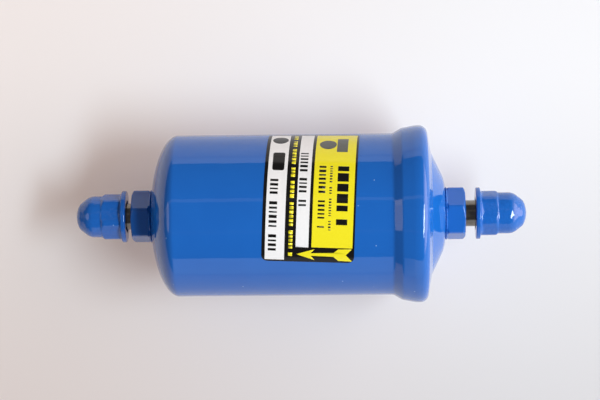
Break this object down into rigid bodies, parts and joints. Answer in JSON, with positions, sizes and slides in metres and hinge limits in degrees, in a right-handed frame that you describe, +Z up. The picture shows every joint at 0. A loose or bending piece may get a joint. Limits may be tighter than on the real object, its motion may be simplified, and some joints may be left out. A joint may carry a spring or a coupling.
{
  "type": "filter drier",
  "caption": "Hermetic liquid-line filter drier: a blue drawn steel shell with a welded cover, a male flare fitting with a screw cap on each end, and a solid drying core inside.",
  "frame": {"origin": "on the drier's axis, 39.25 mm from where the shell's straight side turns into the drawn end, close to the middle of that side", "axes": "+X along the drier's axis towards the inlet, so the flow runs along -X; +Z up, through the side that carries the label; +Y completes the right hand"},
  "size_m": [0.1619, 0.0636, 0.0636],
  "materials": {
    "blue_enamel": "glossy powder coat",
    "plated_steel": "turned and plated",
    "spring_steel": "drawn wire",
    "seal_rubber": "matt",
    "desiccant": "porous, moulded",
    "felt": "needled felt",
    "label_film": "printed film"
  },
  "bodies": {
    "drier_body": {"shell": "blue_enamel", "end_cover": "blue_enamel", "cover_weld": "blue_enamel", "inlet_fitting": "plated_steel", "outlet_fitting": "plated_steel", "inlet_fitting_weld": "blue_enamel", "outlet_fitting_weld": "blue_enamel", "desiccant_core": "desiccant", "centring_band": "felt", "filter_mat": "felt", "outlet_mesh": "plated_steel", "support_plate": "plated_steel", "core_pad": "felt", "spring_seat": "plated_steel", "core_spring": "spring_steel", "label": "label_film"},
    "inlet_seal": {"inlet_cap_seal": "seal_rubber"},
    "inlet_cap": {"inlet_cap": "blue_enamel"},
    "outlet_seal": {"outlet_cap_seal": "seal_rubber"},
    "outlet_cap": {"outlet_cap": "blue_enamel"}
  },
  "joints": [
    {"name": "inlet_cap_travel", "type": "slide", "parent": "drier_body", "child": "inlet_seal", "axis": [1, 0, 0], "range_m": [0, 0.0127]},
    {"name": "inlet_cap_turn", "type": "hinge", "parent": "inlet_seal", "child": "inlet_cap", "pos_m": [0.076, 0, 0], "axis": [1, 0, 0], "range_deg": [0, 3600]},
    {"name": "outlet_cap_travel", "type": "slide", "parent": "drier_body", "child": "outlet_seal", "axis": [-1, 0, 0], "range_m": [0, 0.0127]},
    {"name": "outlet_cap_turn", "type": "hinge", "parent": "outlet_seal", "child": "outlet_cap", "pos_m": [-0.067, 0, 0], "axis": [-1, 0, 0], "range_deg": [0, 3600]}
  ],
  "couplings": [
    {"joint": "inlet_cap_travel", "follows": "inlet_cap_turn", "m_per_rad": 0.00020213},
    {"joint": "outlet_cap_travel", "follows": "outlet_cap_turn", "m_per_rad": 0.00020213}
  ]
}
